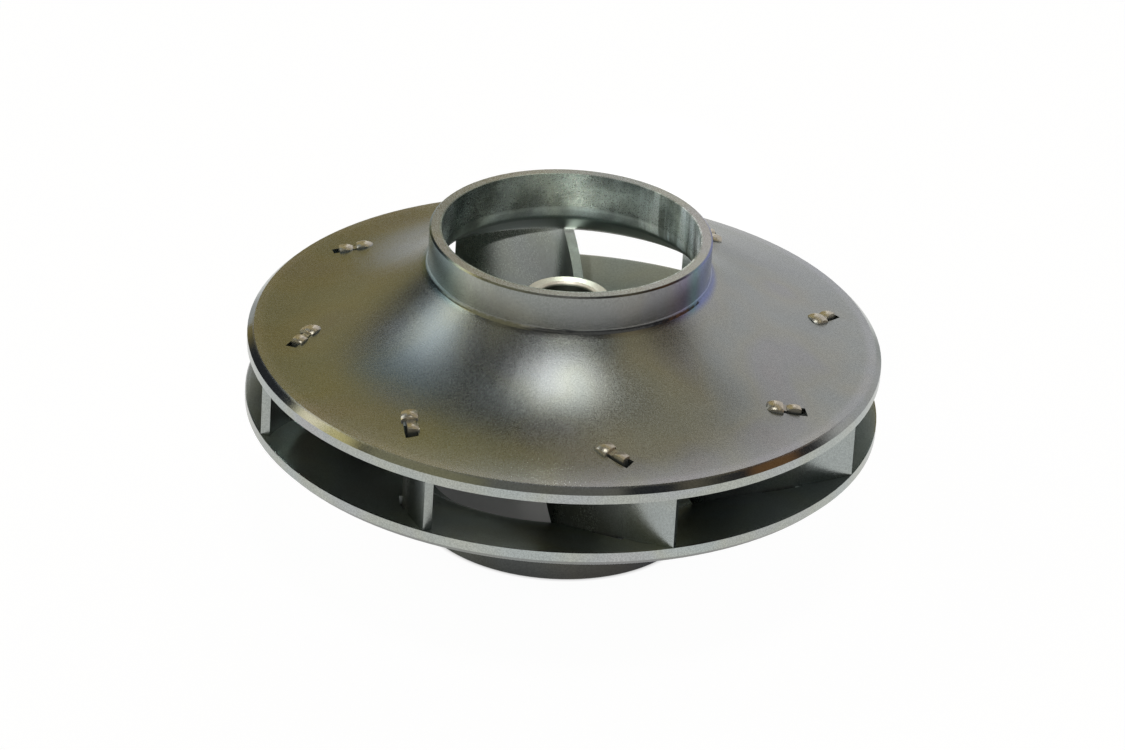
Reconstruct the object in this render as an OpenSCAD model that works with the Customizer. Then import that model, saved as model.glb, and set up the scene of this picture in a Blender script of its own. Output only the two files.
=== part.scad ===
// Double-entry pump impeller, built up from pressed steel sheet.
// Two dished shrouds face each other, each drawn up into a plain neck round its eye.
// Eight curved vanes stand between them. Each vane has a tab on both long edges,
// which passes through a slot in the shroud and is staked over on the outside.
// Between the eyes a flat disc, on a turned hub sleeve that takes the shaft, carries the vanes,
// whose inner ends straddle the edge of the disc.
//
// Frame: the Z axis is the shaft axis, and the end face of the rear neck lies on Z = 0.
// Seen from the front eye, the vanes sweep anticlockwise from the hub to the rim.

/* [Overall] */
// Outside diameter of both shrouds
impeller_d = 150; // [140:1:185]
// Clear width between the shrouds at the rim
outlet_w = 12.8; // [9:0.1:16]
// Length along the shaft from one neck's end face to the other
overall_l = 75; // [68:0.2:96]

/* [Shrouds] */
// Thickness of the shroud sheet
sheet_t = 3.6; // [2.4:0.1:4.4]
// Radius of the dished sheet in section, on its inside face
dish_r = 73.2; // [60:0.2:110]
// Rise of the inside face from the rim to the root of the neck
dish_rise = 17.2; // [12:0.1:20]
// Chamfer turned on the rim's outer corner
rim_chamfer = 1.5; // [0.6:0.1:2]
// Outside diameter of the necks
neck_d = 66.6; // [56:0.2:80]
// Wall of the necks, thinned a little by drawing
neck_wall = 2.8; // [1.8:0.1:3.6]
// Fillet in the corner between a neck and its dish
root_fillet = 1.5; // [0.8:0.1:3]
// Rounding of the inside corner under each neck
throat_round = 4.6; // [3.8:0.1:7]
// Chamfer on the outer edge of a neck's end face
neck_chamfer = 0.4; // [0.2:0.1:0.8]

/* [Hub and centre disc] */
// Outside diameter of the hub sleeve
hub_d = 21; // [18:0.2:26]
// Bore for the shaft
bore_d = 14; // [10:0.1:15]
// Length of the hub sleeve
hub_l = 41; // [34:0.2:48]
// Chamfer on the sleeve's outer edges
hub_chamfer = 0.5; // [0.2:0.1:1]
// Chamfer at both ends of the bore
bore_chamfer = 0.8; // [0.2:0.1:1.2]
// Outside diameter of the centre disc
disc_d = 80; // [74:0.5:88]
// Thickness of the centre disc
disc_t = 3; // [2:0.1:5]

/* [Vanes] */
// Thickness of the vane sheet
vane_t = 2.2; // [1.6:0.1:2.6]
// Distance from the rim in to the middle of a vane's outer end
vane_inset = 1; // [0.9:0.1:4]
// Angle between a vane's outer end and the rim's tangent
exit_angle = 38; // [30:0.5:50]
// Radius of a vane's curve, along the middle of the sheet
curve_r = 44; // [38:0.2:60]
// Distance from the shaft axis at which a vane's free edges in the eyes meet the disc
eye_edge_r = 34; // [30:0.5:36]
// Slope of those free edges up from the disc to the shrouds, in degrees
eye_edge_angle = 48; // [35:0.5:55]
// Direction of the first vane's outer end, in degrees from +X
first_vane_angle = 22.2; // [0:0.2:44.8]

/* [Tabs and slots] */
// Distance along a vane from its outer end to the slot
slot_inset = 12.2; // [9:0.1:15]
// Length of a slot
slot_l = 9; // [7:0.1:12]
// Length of slot left open past the outer end of the tab
slot_open = 1.4; // [0.5:0.1:3]
// Width of slot left open on the convex side of the tab
slot_gap = 0.7; // [0.2:0.1:1.4]
// Clearance between a tab and its slot on the other sides
tab_clearance = 0.1; // [0.05:0.05:0.2]
// Height of a staked head's crown above the shroud
head_h = 1.1; // [0.7:0.1:1.6]
// Radius of the rounded crown of each half of a head
crown_r = 4; // [3:0.1:8]
// How far a staked head spreads past the tab on each side
head_spread = 0.5; // [0.3:0.1:1]
// Width of the chisel groove between the two halves of a head
head_split = 0.9; // [0.5:0.1:1.4]
// Height above the shroud of the metal left at the bottom of that groove
groove_h = 0.2; // [0.1:0.05:0.4]

/* [Hidden] */
VANE_COUNT = 8;

SHROUD_COLOUR = "#8f8c80";
VANE_COLOUR = "#7d8280";
DISC_COLOUR = "#6f7370";
HUB_COLOUR = "#c9c6b4";

ROUND_FN = 180;
FILLET_FN = 48;
// Reach of a cutting shape past the face that it cuts
past = 1;

mid_z = overall_l / 2;
rim_r = impeller_d / 2;
neck_r = neck_d / 2;
throat_r = neck_r - neck_wall;
hub_r = hub_d / 2;
disc_r = disc_d / 2;

// Section of a shroud, with X as the radius and Y as the height above the middle plane.
// The dish is a band between two arcs about one centre: dish_r inside, dish_outer_r outside.
dish_outer_r = dish_r - sheet_t;
dish_centre = arc_centre([neck_r, outlet_w / 2 + dish_rise], [rim_r, outlet_w / 2], dish_r);

// Middle of a vane's outer end in plan, before the vane is turned to its place
vane_end = [rim_r - vane_inset, 0];

// The tab and its head, as lengths back along the vane's curve from its outer end
tab_start = slot_inset + slot_open;
tab_end = slot_inset + slot_l - tab_clearance;
head_middle = (tab_start + tab_end) / 2;

// A point at distance 1 from the origin, in a direction given in degrees
function polar(angle) = [cos(angle), sin(angle)];

// Point on a vane's curve in plan, at a given length back from the outer end
function on_curve(length) =
    vane_end + curve_r * (polar(-exit_angle - length / curve_r * 180 / PI) - polar(-exit_angle));

// Centre of an arc through a and b that lies to the left of the line from a to b
function arc_centre(a, b, radius) =
    let (
        span = b - a,
        half = norm(span) / 2,
        left = [-span[1], span[0]] / norm(span)
    )
    (a + b) / 2 + left * sqrt(radius * radius - half * half);

// Height of a point at radius x that lies a given distance below the dish's centre
function below_dish_centre(x, distance) =
    dish_centre[1] - sqrt(distance * distance - pow(dish_centre[0] - x, 2));

// The point on the ray from the dish's centre through p, at a given distance from the centre
function from_dish_centre(p, distance) =
    dish_centre + distance * (p - dish_centre) / norm(p - dish_centre);

module disc_at(centre, radius, fn = ROUND_FN) {
    translate(centre)
        circle(r = radius, $fn = fn);
}

// ---- Shrouds ----

// Metal that fills the corner between the neck and the outside of the dish
module root_fillet_section() {
    x = neck_r + root_fillet;
    centre = [x, below_dish_centre(x, dish_outer_r - root_fillet)];
    in_neck = neck_r - neck_wall / 2;
    in_sheet = dish_outer_r + sheet_t / 2;
    difference() {
        polygon([
            [neck_r, centre[1]],
            [in_neck, centre[1]],
            [in_neck, below_dish_centre(in_neck, in_sheet)],
            from_dish_centre(centre, in_sheet),
            from_dish_centre(centre, dish_outer_r)
        ]);
        disc_at(centre, root_fillet, FILLET_FN);
    }
}

// What is cut from the rim's outer corner to chamfer it, starting on the outside of the dish
module rim_chamfer_section() {
    x = rim_r - rim_chamfer;
    y = below_dish_centre(x, dish_outer_r);
    polygon([
        [x - past, y + past],
        [rim_r + past, y - rim_chamfer - past],
        [rim_r + past, y + past]
    ]);
}

// What is cut from the inside corner under the neck to round it
module throat_round_section() {
    x = throat_r + throat_round;
    centre = [x, below_dish_centre(x, dish_r - throat_round)];
    difference() {
        polygon([
            centre,
            [throat_r - past, centre[1]],
            [throat_r - past, below_dish_centre(throat_r, dish_r) - past],
            from_dish_centre(centre, dish_r + past)
        ]);
        disc_at(centre, throat_round, FILLET_FN);
    }
}

module shroud_section() {
    difference() {
        union() {
            difference() {
                intersection() {
                    translate([throat_r, 0])
                        square([rim_r - throat_r, mid_z]);
                    disc_at(dish_centre, dish_r);
                }
                intersection() {
                    translate([neck_r, 0])
                        square([rim_r, mid_z + past]);
                    disc_at(dish_centre, dish_outer_r);
                }
            }
            root_fillet_section();
        }
        rim_chamfer_section();
        throat_round_section();
        polygon([
            [neck_r - neck_chamfer, mid_z],
            [neck_r + past, mid_z + past],
            [neck_r + past, mid_z - neck_chamfer - past],
            [neck_r, mid_z - neck_chamfer]
        ]);
    }
}

// The shroud above the middle plane, with its neck up and a slot for each vane's tab
module shroud() {
    difference() {
        rotate_extrude($fn = ROUND_FN)
            shroud_section();
        for (i = [1 : VANE_COUNT])
            place_vane(i)
                linear_extrude(mid_z)
                    slot_plan();
    }
}

module front_shroud() {
    color(SHROUD_COLOUR)
        translate([0, 0, mid_z])
            shroud();
}

module rear_shroud() {
    color(SHROUD_COLOUR)
        translate([0, 0, mid_z])
            mirror([0, 0, 1])
                shroud();
}

// ---- Hub and centre disc ----

// Upper half of the hub's section, from its outside to its bore
function hub_upper_section() = [
    [hub_r, hub_l / 2 - hub_chamfer],
    [hub_r - hub_chamfer, hub_l / 2],
    [bore_d / 2 + bore_chamfer, hub_l / 2],
    [bore_d / 2, hub_l / 2 - bore_chamfer]
];

module hub() {
    upper = hub_upper_section();
    lower = [for (i = [len(upper) - 1 : -1 : 0]) [upper[i][0], -upper[i][1]]];
    color(HUB_COLOUR)
        translate([0, 0, mid_z])
            rotate_extrude($fn = ROUND_FN)
                polygon(concat(upper, lower));
}

module centre_disc() {
    color(DISC_COLOUR)
        translate([0, 0, mid_z])
            difference() {
                cylinder(h = disc_t, r = disc_r, center = true, $fn = ROUND_FN);
                cylinder(h = disc_t + 2 * past, r = hub_r, center = true, $fn = ROUND_FN);
            }
}

// ---- Vanes ----

// Turns a shape drawn for one vane to that vane's place round the shaft
module place_vane(i) {
    rotate([0, 0, first_vane_angle + (i - 1) * 360 / VANE_COUNT])
        children();
}

// Stretch of a vane's curve in plan, between two lengths back from the outer end.
// It reaches the given distances from the middle of the sheet to the inside of the curve
// and to the outside.
module stretch(start, end, inner = vane_t / 2, outer = vane_t / 2) {
    from = -end / curve_r * 180 / PI;
    to = -start / curve_r * 180 / PI;
    corner_r = 2 * curve_r;
    translate(vane_end)
        rotate(-exit_angle)
            intersection() {
                difference() {
                    disc_at([-curve_r, 0], curve_r + outer);
                    disc_at([-curve_r, 0], curve_r - inner);
                }
                translate([-curve_r, 0])
                    polygon([
                        [0, 0],
                        corner_r * polar(from),
                        corner_r * polar((from + to) / 2),
                        corner_r * polar(to)
                    ]);
            }
}

// The whole curve, drawn long enough to reach past the vane's tip on the centre disc
module vane_plan() {
    stretch(0, rim_r);
}

module slot_plan() {
    stretch(
        slot_inset,
        slot_inset + slot_l,
        vane_t / 2 + tab_clearance,
        vane_t / 2 + slot_gap
    );
}

// Outline of a vane's blade in the plane through the shaft: the shrouds' inside faces above
// and below, the free edges that cross the two eyes, and the notch that takes the disc's edge
module blade_section() {
    outer_x = rim_r + past;
    outer_y = disc_t / 2 + (outer_x - eye_edge_r) * tan(eye_edge_angle);
    difference() {
        polygon([
            [eye_edge_r, disc_t / 2],
            [outer_x, outer_y],
            [outer_x, -outer_y],
            [eye_edge_r, -disc_t / 2],
            [disc_r, -disc_t / 2],
            [disc_r, disc_t / 2]
        ]);
        for (side = [-1, 1])
            scale([1, side])
                disc_at(dish_centre, dish_r);
    }
}

// Everything between the outside faces of the two shrouds, raised by a given height
module raised_section(height) {
    difference() {
        translate([neck_r + root_fillet, -mid_z])
            square([rim_r - neck_r - root_fillet, 2 * mid_z]);
        for (side = [-1, 1])
            scale([1, side])
                disc_at(dish_centre, dish_outer_r - height);
    }
}

// The tabs of one vane reach through both shrouds, to the grooves in their heads
module tabs() {
    intersection() {
        linear_extrude(2 * mid_z, center = true)
            stretch(tab_start, tab_end);
        rotate_extrude($fn = ROUND_FN)
            raised_section(groove_h);
    }
}

// Half of a staked head above the middle plane: a block with a rounded crown
module half_head(start, end, inner, outer) {
    middle = on_curve((start + end) / 2);
    crown = below_dish_centre(norm(middle), dish_outer_r) + head_h;
    intersection() {
        linear_extrude(mid_z)
            stretch(start, end, inner, outer);
        translate([middle[0], middle[1], crown - crown_r])
            sphere(r = crown_r, $fn = FILLET_FN);
    }
}

// The two halves of the staked head at each end of the tabs, spread over the slot's edges
module heads() {
    difference() {
        for (side = [0, 1])
            mirror([0, 0, side]) {
                half_head(
                    head_middle + head_split / 2,
                    tab_end + head_spread,
                    vane_t / 2 + head_spread,
                    vane_t / 2 + slot_gap + head_spread
                );
                half_head(
                    tab_start,
                    head_middle - head_split / 2,
                    vane_t / 2 + head_spread,
                    vane_t / 2
                );
            }
        rotate_extrude($fn = ROUND_FN)
            raised_section(0);
    }
}

module vane(i) {
    color(VANE_COLOUR)
        translate([0, 0, mid_z])
            place_vane(i) {
                intersection() {
                    linear_extrude(2 * mid_z, center = true)
                        vane_plan();
                    rotate_extrude($fn = ROUND_FN)
                        blade_section();
                }
                tabs();
                heads();
            }
}

front_shroud();
rear_shroud();
centre_disc();
hub();
for (i = [1 : VANE_COUNT])
    vane(i);
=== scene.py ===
"""A double-entry pump impeller of zinc-plated pressed steel, on a pale floor."""

import math

import bpy
from mathutils import Matrix, Vector


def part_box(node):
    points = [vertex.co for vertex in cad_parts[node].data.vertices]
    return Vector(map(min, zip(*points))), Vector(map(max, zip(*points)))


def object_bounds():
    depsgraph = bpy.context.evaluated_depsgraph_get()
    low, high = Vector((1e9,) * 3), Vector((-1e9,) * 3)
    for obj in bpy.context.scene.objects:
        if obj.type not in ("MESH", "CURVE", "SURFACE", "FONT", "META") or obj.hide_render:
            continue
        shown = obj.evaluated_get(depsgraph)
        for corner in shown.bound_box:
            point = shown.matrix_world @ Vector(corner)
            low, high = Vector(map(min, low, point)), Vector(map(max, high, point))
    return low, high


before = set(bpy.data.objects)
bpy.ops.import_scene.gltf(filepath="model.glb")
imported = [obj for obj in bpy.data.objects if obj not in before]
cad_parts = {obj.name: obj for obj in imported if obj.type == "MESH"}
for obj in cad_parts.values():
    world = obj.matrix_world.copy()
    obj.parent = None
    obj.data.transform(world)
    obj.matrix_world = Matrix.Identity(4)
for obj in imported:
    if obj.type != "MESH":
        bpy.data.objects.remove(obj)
CAD_BOX = [[float(value) for value in corner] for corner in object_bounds()]
MM = 0.001

# ---------------------------------------------------------------- sizes
# Sizes are in metres. The first ones come from the frame, and the rest repeat the part's own.
RIM_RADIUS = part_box("front_shroud")[1].x
NECK_TOP = CAD_BOX[1][2]
MID_HEIGHT = NECK_TOP / 2
HUB_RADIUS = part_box("hub")[1].x
HUB_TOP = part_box("hub")[1].z
NECK_RADIUS = 33.3 * MM
NECK_BORE = 30.5 * MM
SHEET = 3.6 * MM
# The dish in section: its inside arc's radius and centre, as radius and height above the middle
DISH_RADIUS = 73.2 * MM
DISH_CENTRE = (80.70 * MM, 79.38 * MM)

# ---------------------------------------------------------------- colours
SATIN_ZINC = (0.50, 0.535, 0.52, 1)
# A pale band just inside each rim: a painted sheen.
EDGE_SHEEN_ZINC = (0.57, 0.60, 0.61, 1)
# Painted shade for the inside of a dish: darkest in the eye, lighter further out between the
# shrouds.
SHADED_EYE_ZINC = (0.20, 0.25, 0.23, 1)
SHADED_DEEP_ZINC = (0.35, 0.40, 0.38, 1)
BLADE_ZINC = (0.43, 0.465, 0.455, 1)
# The inner edge of a vane, painted dark as shade.
BLADE_EDGE_SHADE = (0.10, 0.115, 0.105, 1)
# The staked heads: rubbed, and painted pale as a highlight.
RUBBED_AND_HIGHLIT_HEAD = (0.92, 0.86, 0.71, 1)
DISC_ZINC = (0.62, 0.62, 0.61, 1)
SLEEVE_FACE = (0.61, 0.575, 0.50, 1)
SLEEVE_BORE = (0.10, 0.11, 0.09, 1)
NECK_CLOUD = (0.42, 0.50, 0.47, 1)
# Pale streaks in a neck's bore: a painted reflection.
NECK_STREAK_SHEEN = (0.86, 1.0, 1.0, 1)
# Bands of colour: place along the band from 0 to 1, and colour. The first is the drift of the
# passive film on every sheet, and the second runs across a neck from left to right: the
# film's green and violet, with painted shade that darkens the neck most at its ends and a
# painted highlight left of the middle.
DRIFT_BAND = (
    (0.30, (0.60, 0.72, 0.95)), (0.42, (0.80, 0.90, 0.95)), (0.52, (1.0, 0.90, 0.62)),
    (0.61, (0.85, 0.78, 0.95)), (0.70, (0.95, 0.70, 0.85)),
)
NECK_FILM_AND_SHADE = (
    (0.02, (0.28, 0.38, 0.38)), (0.06, (0.30, 0.39, 0.38)), (0.14, (0.50, 0.54, 0.50)),
    (0.25, (0.36, 0.38, 0.36)), (0.50, (0.345, 0.355, 0.335)), (0.72, (0.33, 0.33, 0.32)),
    (0.86, (0.28, 0.29, 0.31)), (0.93, (0.30, 0.28, 0.40)), (0.965, (0.22, 0.36, 0.42)),
    (0.99, (0.27, 0.33, 0.58)),
)


# ---------------------------------------------------------------- nodes
def add(tree, kind, inputs=None, **settings):
    """Adds a node. Each setting is set on it, and each input is set or linked by its name."""
    made = tree.nodes.new(kind)
    for name, value in settings.items():
        setattr(made, name, value)
    for name, value in (inputs or {}).items():
        socket = made.inputs[name]
        if isinstance(value, bpy.types.NodeSocket):
            tree.links.new(value, socket)
        else:
            socket.default_value = value
    return made


def calc(tree, operation, first, second=0.0, third=0.0):
    """One sum on numbers."""
    made = add(tree, "ShaderNodeMath", {0: first, 1: second, 2: third}, operation=operation)
    return made.outputs[0]


def blend(tree, amount, first, second, mode="MIX"):
    """Mixes two colours."""
    made = add(
        tree, "ShaderNodeMix", {0: amount, 6: first, 7: second},
        data_type="RGBA", blend_type=mode,
    )
    return made.outputs[2]


def ramp(tree, value, low, high, start=0.0, end=1.0):
    """Carries a value from low to high softly into start to end, and holds it past the ends."""
    made = add(
        tree, "ShaderNodeMapRange",
        {"Value": value, "From Min": low, "From Max": high, "To Min": start, "To Max": end},
        interpolation_type="SMOOTHSTEP",
    )
    return made.outputs["Result"]


def window(tree, value, low, high, soft):
    """1 between low and high and 0 outside, with soft edges: a rise times a fall."""
    return calc(
        tree, "MULTIPLY",
        ramp(tree, value, low - soft, low + soft),
        ramp(tree, value, high - soft, high + soft, 1.0, 0.0),
    )


def colour_band(tree, value, band):
    """Turns a value from 0 to 1 into a colour from a table of places and colours."""
    made = add(tree, "ShaderNodeValToRGB", {"Fac": value})
    points = made.color_ramp.elements
    for point, (spot, colour) in ((points[0], band[0]), (points[1], band[-1])):
        point.position = spot
        point.color = (*colour, 1)
    for spot, colour in band[1:-1]:
        points.new(spot).color = (*colour, 1)
    return made.outputs["Color"]


def noise(tree, vector, scale, detail=2.0, roughness=0.5):
    """A soft noise from 0 to 1, with its scale as waves per metre."""
    made = add(
        tree, "ShaderNodeTexNoise",
        {"Vector": vector, "Scale": scale, "Detail": detail, "Roughness": roughness},
    )
    return made.outputs["Fac"]


def split(tree, vector):
    """The three parts of a vector."""
    return add(tree, "ShaderNodeSeparateXYZ", {0: vector}).outputs


def length_of(tree, across, upward):
    """The length of a flat vector of two parts."""
    flat = add(tree, "ShaderNodeCombineXYZ", {0: across, 1: upward}).outputs[0]
    return add(tree, "ShaderNodeVectorMath", {0: flat}, operation="LENGTH").outputs["Value"]


def new_group(name, inputs, outputs):
    """Starts a node group with named sockets. Returns it with its input and output nodes."""
    kinds = {"value": "NodeSocketFloat", "vector": "NodeSocketVector", "colour": "NodeSocketColor"}
    group = bpy.data.node_groups.new(name, "ShaderNodeTree")
    for label, (kind, start) in inputs.items():
        socket = group.interface.new_socket(label, in_out="INPUT", socket_type=kinds[kind])
        if start is not None:
            socket.default_value = start
    for label, kind in outputs.items():
        group.interface.new_socket(label, in_out="OUTPUT", socket_type=kinds[kind])
    return group, group.nodes.new("NodeGroupInput"), group.nodes.new("NodeGroupOutput")


def use(tree, group, **inputs):
    """Places a node group in a material. Underscores stand for the spaces in socket names."""
    return add(
        tree, "ShaderNodeGroup",
        {name.replace("_", " "): value for name, value in inputs.items()},
        node_tree=group,
    )


def satin_grain():
    """Fine speckle of plated sheet: the mean of two noises, one 2.3 times as fine as the other.

    Height is their mean, and Speckle is that mean pulled apart about its middle."""
    group, given, result = new_group(
        "Satin grain",
        {"Vector": ("vector", None), "Grain Size": ("value", 0.0004)},
        {"Height": "value", "Speckle": "value"},
    )
    scale = calc(group, "DIVIDE", 1.0, given.outputs["Grain Size"])
    coarse = noise(group, given.outputs["Vector"], scale, 3.0, 0.6)
    fine = noise(group, given.outputs["Vector"], calc(group, "MULTIPLY", scale, 2.3), 2.0, 0.5)
    mean = calc(group, "MULTIPLY", calc(group, "ADD", coarse, fine), 0.5)
    group.links.new(mean, result.inputs["Height"])
    group.links.new(ramp(group, mean, 0.38, 0.62), result.inputs["Speckle"])
    return group


def turning_lines():
    """Fine rings about the shaft axis, as left by spinning and turning.

    The radius and the height are fed to a noise that knows no turn about the axis, so it
    draws rings on flat faces and on round ones."""
    group, given, result = new_group(
        "Turning lines",
        {"Vector": ("vector", None), "Pitch": ("value", 0.0003)},
        {"Height": "value"},
    )
    parts = split(group, given.outputs["Vector"])
    radius = length_of(group, parts[0], parts[1])
    rings = add(group, "ShaderNodeCombineXYZ", {0: radius, 1: parts[2]}).outputs[0]
    scale = calc(group, "DIVIDE", 1.0, given.outputs["Pitch"])
    group.links.new(noise(group, rings, scale, 2.0), result.inputs["Height"])
    return group


def passivated_tint():
    """The faint colours of passivated zinc: blue, straw and rose drift over the plain grey."""
    group, given, result = new_group(
        "Passivated tint",
        {
            "Vector": ("vector", None),
            "Colour": ("colour", None),
            "Strength": ("value", 0.2),
            "Patch Size": ("value", 0.03),
        },
        {"Colour": "colour"},
    )
    scale = calc(group, "DIVIDE", 1.0, given.outputs["Patch Size"])
    film = colour_band(group, noise(group, given.outputs["Vector"], scale, 2.0), DRIFT_BAND)
    tinted = blend(
        group, given.outputs["Strength"], given.outputs["Colour"], film, "MULTIPLY"
    )
    group.links.new(tinted, result.inputs["Colour"])
    return group


def handling_marks():
    """Smears and short scratches: a soft large noise, and thin lines from a stretched one."""
    group, given, result = new_group(
        "Handling marks",
        {"Vector": ("vector", None), "Smear Size": ("value", 0.02)},
        {"Smear": "value", "Scratch": "value"},
    )
    scale = calc(group, "DIVIDE", 1.0, given.outputs["Smear Size"])
    smear = noise(group, given.outputs["Vector"], scale, 4.0, 0.6)
    turned = add(
        group, "ShaderNodeMapping",
        {
            "Vector": given.outputs["Vector"],
            "Rotation": (0.4, 0.9, 0.6),
            "Scale": (1.0, 14.0, 3.0),
        },
    ).outputs["Vector"]
    lines = noise(group, turned, calc(group, "MULTIPLY", scale, 3.0), 3.0, 0.55)
    group.links.new(ramp(group, smear, 0.35, 0.70), result.inputs["Smear"])
    group.links.new(ramp(group, lines, 0.66, 0.72), result.inputs["Scratch"])
    return group


GRAIN = satin_grain()
RINGS = turning_lines()
TINT = passivated_tint()
MARKS = handling_marks()
RING_PITCH = 0.35 * MM
SMEAR_SIZE = 18 * MM
PATCH_SIZE = 28 * MM
BUMP_DEPTH = 0.05 * MM


# ---------------------------------------------------------------- materials
def new_steel(name):
    """Starts a material. Returns it with its node tree and the place of each point."""
    material = bpy.data.materials.new(name)
    material.use_nodes = True
    tree = material.node_tree
    return material, tree, add(tree, "ShaderNodeTexCoord").outputs["Object"]


def radius_and_height(tree, place):
    """The distance from the shaft axis and from the middle plane, at each point."""
    parts = split(tree, place)
    height = calc(tree, "ABSOLUTE", calc(tree, "SUBTRACT", parts[2], MID_HEIGHT))
    return length_of(tree, parts[0], parts[1]), height


def reach_from_dish(tree, radius, height):
    """The distance in section from the centre of the dish's arc, at each point."""
    across = calc(tree, "SUBTRACT", radius, DISH_CENTRE[0])
    upward = calc(tree, "SUBTRACT", height, DISH_CENTRE[1])
    return length_of(tree, across, upward)


def finish_steel(tree, place, *, colour, roughness, grain, tint, rings, bump, metal=1.0):
    """Links the colour, roughness and bump of zinc-plated steel to a material's shader.

    Colour, roughness, bump and metal may be sockets, so that a piece can have zones. Grain is
    the size of the speckle, tint the strength of the drifting film, and rings the share of
    turning lines in the bump."""
    shader = tree.nodes["Principled BSDF"]
    if isinstance(metal, bpy.types.NodeSocket):
        tree.links.new(metal, shader.inputs["Metallic"])
    else:
        shader.inputs["Metallic"].default_value = metal
    speckle = use(tree, GRAIN, Vector=place, Grain_Size=grain).outputs
    lines = use(tree, RINGS, Vector=place, Pitch=RING_PITCH).outputs
    marks = use(tree, MARKS, Vector=place, Smear_Size=SMEAR_SIZE).outputs
    film = use(
        tree, TINT, Vector=place, Colour=colour, Strength=tint, Patch_Size=PATCH_SIZE
    ).outputs

    smeared = ramp(tree, marks["Smear"], 0, 1, 0.97, 1.02)
    speckled = ramp(tree, speckle["Speckle"], 0, 1, 0.87, 1.13)
    shade = calc(tree, "MULTIPLY", smeared, speckled)
    tree.links.new(
        blend(tree, 1.0, film["Colour"], shade, "MULTIPLY"), shader.inputs["Base Color"]
    )

    rough = calc(tree, "ADD", roughness, ramp(tree, marks["Smear"], 0, 1, -0.01, 0.01))
    rough = calc(tree, "ADD", rough, ramp(tree, speckle["Speckle"], 0, 1, -0.03, 0.03))
    rough = calc(tree, "MULTIPLY_ADD", marks["Scratch"], -0.03, rough)
    tree.links.new(rough, shader.inputs["Roughness"])

    height = calc(tree, "MULTIPLY", speckle["Height"], 1.0 - rings)
    height = calc(tree, "MULTIPLY_ADD", lines["Height"], rings, height)
    height = calc(tree, "MULTIPLY_ADD", marks["Scratch"], -0.1, height)
    bumped = add(
        tree, "ShaderNodeBump", {"Height": height, "Strength": bump, "Distance": BUMP_DEPTH}
    )
    tree.links.new(bumped.outputs["Normal"], shader.inputs["Normal"])


def film_and_shade_round_neck(tree, place):
    """The passive film outside a neck, green on the left, plain in front and violet on the right,
    with painted shade that darkens the neck, most at its ends, and a painted highlight left of
    the middle.

    It runs with the distance across, from one side of the neck to the other."""
    reach = 0.95 * NECK_RADIUS
    across = calc(tree, "MULTIPLY_ADD", split(tree, place)[0], 0.5 / reach, 0.5)
    return colour_band(tree, across, NECK_FILM_AND_SHADE)


def neck_clouds_and_streak_sheen(tree, place):
    """Pale upright streaks on the right of the bore of a neck, a painted reflection, and clouding
    all round it.

    The streaks are a noise stretched upwards, and the clouding is a soft noise."""
    stretched = add(tree, "ShaderNodeMapping", {"Vector": place, "Scale": (1.0, 1.0, 0.06)})
    streaks = ramp(tree, noise(tree, stretched.outputs["Vector"], 420.0, 2.0), 0.42, 0.60)
    # The streaks are kept to the right side, where the painted reflection falls.
    on_right = ramp(tree, split(tree, place)[0], 8 * MM, 22 * MM)
    clouds = ramp(tree, noise(tree, place, 110.0, 3.0), 0.36, 0.64, 0.6, 1.3)
    clouded = blend(tree, 1.0, NECK_CLOUD, clouds, "MULTIPLY")
    return blend(tree, calc(tree, "MULTIPLY", streaks, on_right), clouded, NECK_STREAK_SHEEN)


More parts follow.
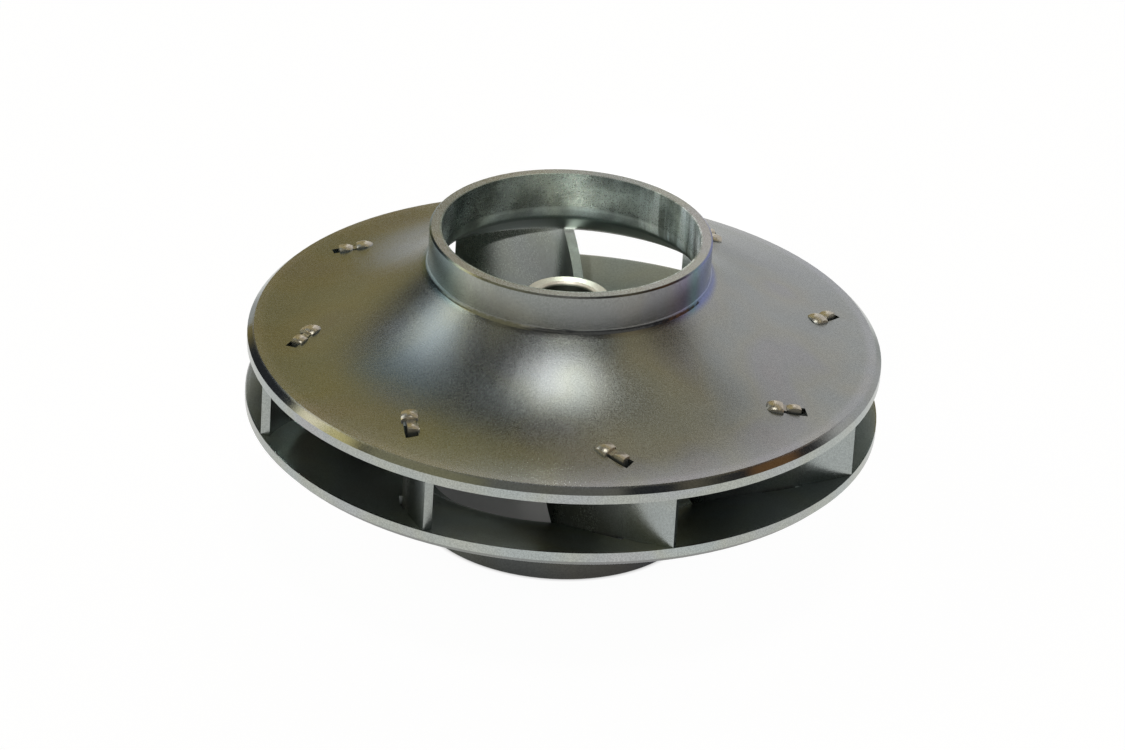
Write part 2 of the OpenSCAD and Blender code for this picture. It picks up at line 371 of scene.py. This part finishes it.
def shroud_steel():
    """Plated sheet of a shroud: satin on the dish, glossier on the necks, the rim and inside.
    Its colour has painted shade in the eye, between the shrouds and round the necks, and a
    painted sheen in a band inside the rim.

    The inside of the dish lies further than the middle of the sheet from the arc's centre in
    section, and the rim and the necks are told by their distance from the shaft axis."""
    material, tree, place = new_steel("plated_sheet")
    radius, height = radius_and_height(tree, place)
    reach = reach_from_dish(tree, radius, height)

    def both(first, second):
        return calc(tree, "MULTIPLY", first, second)

    def rise(start, end):
        return ramp(tree, radius, start, end)

    def fall(start, end):
        return ramp(tree, radius, start, end, 1.0, 0.0)

    outside = ramp(tree, reach, DISH_RADIUS - 0.6 * SHEET, DISH_RADIUS - 0.4 * SHEET, 1.0, 0.0)
    inside = calc(tree, "SUBTRACT", 1.0, outside)
    rim = rise(RIM_RADIUS - 1.6 * MM, RIM_RADIUS - 0.9 * MM)
    neck = fall(NECK_RADIUS + 0.4 * MM, NECK_RADIUS + 2.0 * MM)
    wall = both(neck, rise(NECK_RADIUS - 0.6 * MM, NECK_RADIUS - 0.2 * MM))
    bore = fall(NECK_BORE + 0.2 * MM, NECK_BORE + 0.6 * MM)
    eye = both(inside, fall(38 * MM, 46 * MM))
    deep = both(inside, rise(40 * MM, 50 * MM))
    deep = both(deep, fall(RIM_RADIUS - 0.4 * MM, RIM_RADIUS - 0.1 * MM))
    edge = calc(tree, "SUBTRACT", rise(RIM_RADIUS - 4.5 * MM, RIM_RADIUS - 2.5 * MM), rim)

    bright = calc(tree, "MAXIMUM", rim, both(neck, 0.55))
    bright = calc(tree, "MAXIMUM", bright, both(inside, 0.6))
    roughness = ramp(tree, bright, 0, 1, 0.28, 0.11)
    roughness = calc(tree, "MULTIPLY_ADD", bore, 0.10, roughness)
    cavity = calc(tree, "MAXIMUM", eye, deep)
    roughness = calc(tree, "MULTIPLY_ADD", cavity, 0.20, roughness)

    # A painted sheen: the band just inside the rim is paler.
    colour = blend(tree, edge, SATIN_ZINC, EDGE_SHEEN_ZINC)
    # The outside of each neck: film colour with painted shade and a painted highlight.
    colour = blend(tree, wall, colour, film_and_shade_round_neck(tree, place))
    # Painted shade: the inside of the dish in the eye is darkened.
    colour = blend(tree, eye, colour, SHADED_EYE_ZINC)
    colour = blend(tree, bore, colour, neck_clouds_and_streak_sheen(tree, place))
    # Painted shade: the inside of the dish between the shrouds, further out, is darkened.
    colour = blend(tree, deep, colour, SHADED_DEEP_ZINC)

    dull = calc(tree, "MAXIMUM", both(bore, 0.2), both(deep, 0.4))
    finish_steel(
        tree, place, colour=colour, roughness=roughness, grain=0.42 * MM, tint=0.20,
        rings=0.10, bump=ramp(tree, rim, 0, 1, 0.55, 0.1),
        metal=calc(tree, "MULTIPLY_ADD", dull, -0.3, 1.0),
    )
    return material


def vane_steel():
    """Plated sheet of a vane: rubbed heads painted pale as a highlight, painted shade on the
    inner edge, and dull blades further out.

    The staked heads lie outside the dish, so they are told by their reach from its centre."""
    material, tree, place = new_steel("plated_vane")
    radius, height = radius_and_height(tree, place)
    reach = reach_from_dish(tree, radius, height)
    outer = DISH_RADIUS - SHEET
    head = ramp(tree, reach, outer - 0.5 * MM, outer + 0.1 * MM, 1.0, 0.0)
    inner_edge = ramp(tree, radius, 44 * MM, 48 * MM, 1.0, 0.0)
    dull = calc(
        tree, "MULTIPLY",
        ramp(tree, radius, 46 * MM, 50 * MM),
        ramp(tree, radius, 64 * MM, 70 * MM, 1.0, 0.0),
    )
    # The heads: rubbed metal with a painted highlight.
    colour = blend(tree, head, BLADE_ZINC, RUBBED_AND_HIGHLIT_HEAD)
    # Painted shade on the vane's inner edge.
    colour = blend(tree, inner_edge, colour, BLADE_EDGE_SHADE)
    roughness = ramp(tree, head, 0, 1, 0.24, 0.22)
    roughness = calc(tree, "MULTIPLY_ADD", inner_edge, 0.16, roughness)
    finish_steel(
        tree, place, colour=colour, roughness=roughness, grain=0.45 * MM, tint=0.12,
        rings=0.0, bump=0.4, metal=calc(tree, "MULTIPLY_ADD", dull, -0.4, 1.0),
    )
    return material


def disc_steel():
    """Plated sheet of the centre disc, the same all over."""
    material, tree, place = new_steel("plated_disc")
    finish_steel(
        tree, place, colour=DISC_ZINC, roughness=0.36, grain=0.45 * MM, tint=0.12,
        rings=0.3, bump=0.4, metal=0.7,
    )
    return material


def sleeve_steel():
    """The turned sleeve: pale on the faces, dark in the bore."""
    material, tree, place = new_steel("turned_sleeve")
    radius, _ = radius_and_height(tree, place)
    pale = ramp(tree, radius, HUB_RADIUS - 3.4 * MM, HUB_RADIUS - 3.0 * MM)
    finish_steel(
        tree, place, colour=blend(tree, pale, SLEEVE_BORE, SLEEVE_FACE), roughness=0.42,
        grain=0.3 * MM, tint=0.05, rings=0.8, bump=0.4,
        metal=ramp(tree, pale, 0, 1, 1.0, 0.75),
    )
    return material


def dress(node, material):
    """Gives a CAD node one material."""
    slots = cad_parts[node].data.materials
    slots.clear()
    slots.append(material)


SHEET_STEEL = shroud_steel()
VANE_STEEL = vane_steel()
for node_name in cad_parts:
    if node_name.endswith("shroud"):
        dress(node_name, SHEET_STEEL)
    elif node_name.startswith("vane"):
        dress(node_name, VANE_STEEL)
dress("centre_disc", disc_steel())
dress("hub", sleeve_steel())

# ---------------------------------------------------------------- floor, light and camera
# Half of the floor's side, and its glow in reflections: dim under the impeller, brightest from
# near the rim, and dimmer again far out. Radii are in rim radii.
FLOOR_REACH = 3.0
GLOW_RISE = (0.26, 1.40, 0.09, 0.76)
GLOW_FADE = (2.6, 5.0, 1.0, 0.55)
# The studio's walls and windows: from and to in bearing, from and to in elevation, the softness
# of the edges in degrees, colour, and strength. Bearing 0 is in front, and 180 is behind.
PANELS = (
    (-128, -104, 32, 51, 7, (0.92, 0.98, 1.04), 1.22),
    (-150, -126, 38, 58, 6, (0.60, 0.82, 1.0), 0.19),
    (-190, -144, -40, 34, 5, (1.0, 0.76, 0.20), 0.20),
    (-177, -150, 34, 62, 5, (1.0, 0.80, 0.22), 0.27),
    (-162, -144, 8, 34, 5, (1.0, 0.92, 0.60), 0.09),
    (114, 190, -40, 48, 6, (1.0, 0.95, 0.95), 0.50),
    (-190, -177, 34, 47, 3, (1.0, 0.96, 0.93), 0.95),
    (174, 190, -40, 47, 3, (1.0, 0.96, 0.90), 0.34),
    (60, 190, 53, 70, 7, (1.0, 0.84, 0.50), 0.34),
    (-112, -86, 26, 42, 3, (1.0, 0.86, 0.40), 0.72),
    (-110, -84, -20, 16, 4, (1.0, 0.96, 0.82), 0.60),
    (-84, -34, -20, 60, 4, (1.0, 0.92, 0.56), 0.24),
    (-34, 34, 50, 64, 4, (1.0, 0.94, 0.80), 0.15),
    (-30, 66, 14, 36, 6, (1.0, 0.98, 0.95), 0.14),
    (-32, -28, -40, 20, 1, (1.0, 0.92, 0.70), 0.90),
    (84, 102, -40, 44, 2, (1.0, 0.42, 0.04), 0.15),
)
# The soft lamp overhead: bearing and elevation, angle of full light and of none, colour, strength
OVERHEAD = ((0, 86), 2, 14, (1.0, 1.0, 0.98), 2.5)
SURROUND = (0.030, 0.031, 0.035, 1)
# Narrow lamps into the front neck: name, aim, bearing and elevation, full angle, power
LAMPS = (
    ("vane_lamp", (0, 0, NECK_TOP + 7 * MM), (-6, 30), 6.4, 19.0),
    ("hub_lamp", (0, 0, HUB_TOP), (172, 62), 2.8, 1.2),
)
LAMP_DISTANCE = 0.5
CAMERA_DISTANCE = 1.5555
CAMERA_ELEVATION = 28.06
CAMERA_TILT = 3.545
CAMERA_AIM = (0, 0, MID_HEIGHT - 0.6 * MM)


def way_to(bearing, elevation):
    """The unit vector at a bearing and an elevation in degrees. Bearing 0 is -Y, 90 is +X."""
    turn, rise = math.radians(bearing), math.radians(elevation)
    return Vector((
        math.sin(turn) * math.cos(rise), -math.cos(turn) * math.cos(rise), math.sin(rise)
    ))


def in_full(colour, strength):
    """A colour times a strength, with an alpha of 1."""
    return (*(part * strength for part in colour), 1)


def make_floor():
    """A plain pale floor under the rear neck. Reflections see it shaded under the impeller."""
    mesh = bpy.data.meshes.new("floor")
    corners = ((-1, -1), (1, -1), (1, 1), (-1, 1))
    corners = [(x * FLOOR_REACH, y * FLOOR_REACH, 0.0) for x, y in corners]
    mesh.from_pydata(corners, [], [(0, 1, 2, 3)])
    floor = bpy.data.objects.new("floor", mesh)
    bpy.context.collection.objects.link(floor)
    material = bpy.data.materials.new("pale_floor")
    material.use_nodes = True
    tree = material.node_tree
    tree.nodes.clear()
    place = add(tree, "ShaderNodeTexCoord").outputs["Object"]
    radius = add(tree, "ShaderNodeVectorMath", {0: place}, operation="LENGTH").outputs["Value"]

    paper = add(tree, "ShaderNodeBsdfDiffuse", {"Color": (0.85, 0.85, 0.86, 1)})
    white = add(tree, "ShaderNodeEmission", {"Color": (1, 1, 1, 1), "Strength": 1.12})
    beside = ramp(tree, radius, NECK_RADIUS - 2 * MM, NECK_RADIUS + 1 * MM, 0.03, 0.86)
    lit = add(tree, "ShaderNodeMixShader", {0: beside, 1: paper.outputs[0], 2: white.outputs[0]})

    rise, fade = (
        ramp(tree, radius, near * RIM_RADIUS, far * RIM_RADIUS, start, end)
        for near, far, start, end in (GLOW_RISE, GLOW_FADE)
    )
    strength = calc(tree, "MULTIPLY", rise, fade)
    glow = add(tree, "ShaderNodeEmission", {"Color": (1.0, 0.99, 0.97, 1), "Strength": strength})
    seen = add(tree, "ShaderNodeLightPath").outputs["Is Camera Ray"]
    both = add(tree, "ShaderNodeMixShader", {0: seen, 1: glow.outputs[0], 2: lit.outputs[0]})
    add(tree, "ShaderNodeOutputMaterial", {"Surface": both.outputs[0]})
    mesh.materials.append(material)


def make_studio():
    """A dim surround with a soft lamp overhead, walls and windows. The camera sees white."""
    world = bpy.data.worlds.new("studio")
    world.use_nodes = True
    bpy.context.scene.world = world
    tree = world.node_tree
    tree.nodes.clear()
    way = add(tree, "ShaderNodeTexCoord").outputs["Generated"]
    parts = split(tree, way)
    bearing = calc(tree, "ARCTAN2", parts[0], calc(tree, "MULTIPLY", parts[1], -1.0))
    bearing = calc(tree, "DEGREES", bearing)
    elevation = calc(tree, "DEGREES", calc(tree, "ARCSINE", parts[2]))

    glow = SURROUND
    for left, right, low, high, soft, colour, strength in PANELS:
        across = window(tree, bearing, left, right, soft)
        upward = window(tree, elevation, low, high, soft)
        amount = calc(tree, "MULTIPLY", across, upward)
        glow = blend(tree, amount, glow, in_full(colour, strength), "ADD")

    place, full, end, colour, strength = OVERHEAD
    nearness = add(
        tree, "ShaderNodeVectorMath", {0: way, 1: way_to(*place)}, operation="DOT_PRODUCT"
    )
    amount = ramp(
        tree, nearness.outputs["Value"], math.cos(math.radians(end)), math.cos(math.radians(full))
    )
    glow = blend(tree, amount, glow, in_full(colour, strength), "ADD")

    studio = add(tree, "ShaderNodeBackground", {"Color": glow, "Strength": 1.0})
    white = add(tree, "ShaderNodeBackground", {"Color": (1, 1, 1, 1), "Strength": 1.0})
    seen = add(tree, "ShaderNodeLightPath").outputs["Is Camera Ray"]
    both = add(tree, "ShaderNodeMixShader", {0: seen, 1: studio.outputs[0], 2: white.outputs[0]})
    add(tree, "ShaderNodeOutputWorld", {"Surface": both.outputs[0]})
    bpy.context.scene.view_settings.view_transform = "Standard"


def make_lamps():
    """Narrow lamps that look down into the front neck, so that the eye is not dark."""
    for name, aim, way, spread, power in LAMPS:
        lamp = bpy.data.lights.new(name, "SPOT")
        lamp.energy = power
        lamp.color = (1.0, 0.98, 0.94)
        lamp.spot_size = math.radians(spread)
        lamp.spot_blend = 0.5
        lamp.shadow_soft_size = 4 * MM
        made = bpy.data.objects.new(name, lamp)
        towards = way_to(*way)
        turn = towards.to_track_quat("Z", "Y").to_matrix().to_4x4()
        made.matrix_world = Matrix.Translation(Vector(aim) + towards * LAMP_DISTANCE) @ turn
        bpy.context.collection.objects.link(made)


def make_camera():
    """The camera looks down at 28 degrees through a long lens, with a slight tilt."""
    camera = bpy.data.cameras.new("camera")
    camera.sensor_width = 36
    camera.lens = 210
    camera.clip_end = 20
    made = bpy.data.objects.new("camera", camera)
    back = way_to(0, CAMERA_ELEVATION)
    tilt = Matrix.Rotation(math.radians(CAMERA_TILT), 3, "Z")
    turn = back.to_track_quat("Z", "Y").to_matrix() @ tilt
    place = Vector(CAMERA_AIM) + back * CAMERA_DISTANCE
    made.matrix_world = Matrix.Translation(place) @ turn.to_4x4()
    bpy.context.collection.objects.link(made)
    bpy.context.scene.camera = made


make_floor()
make_studio()
make_lamps()
make_camera()
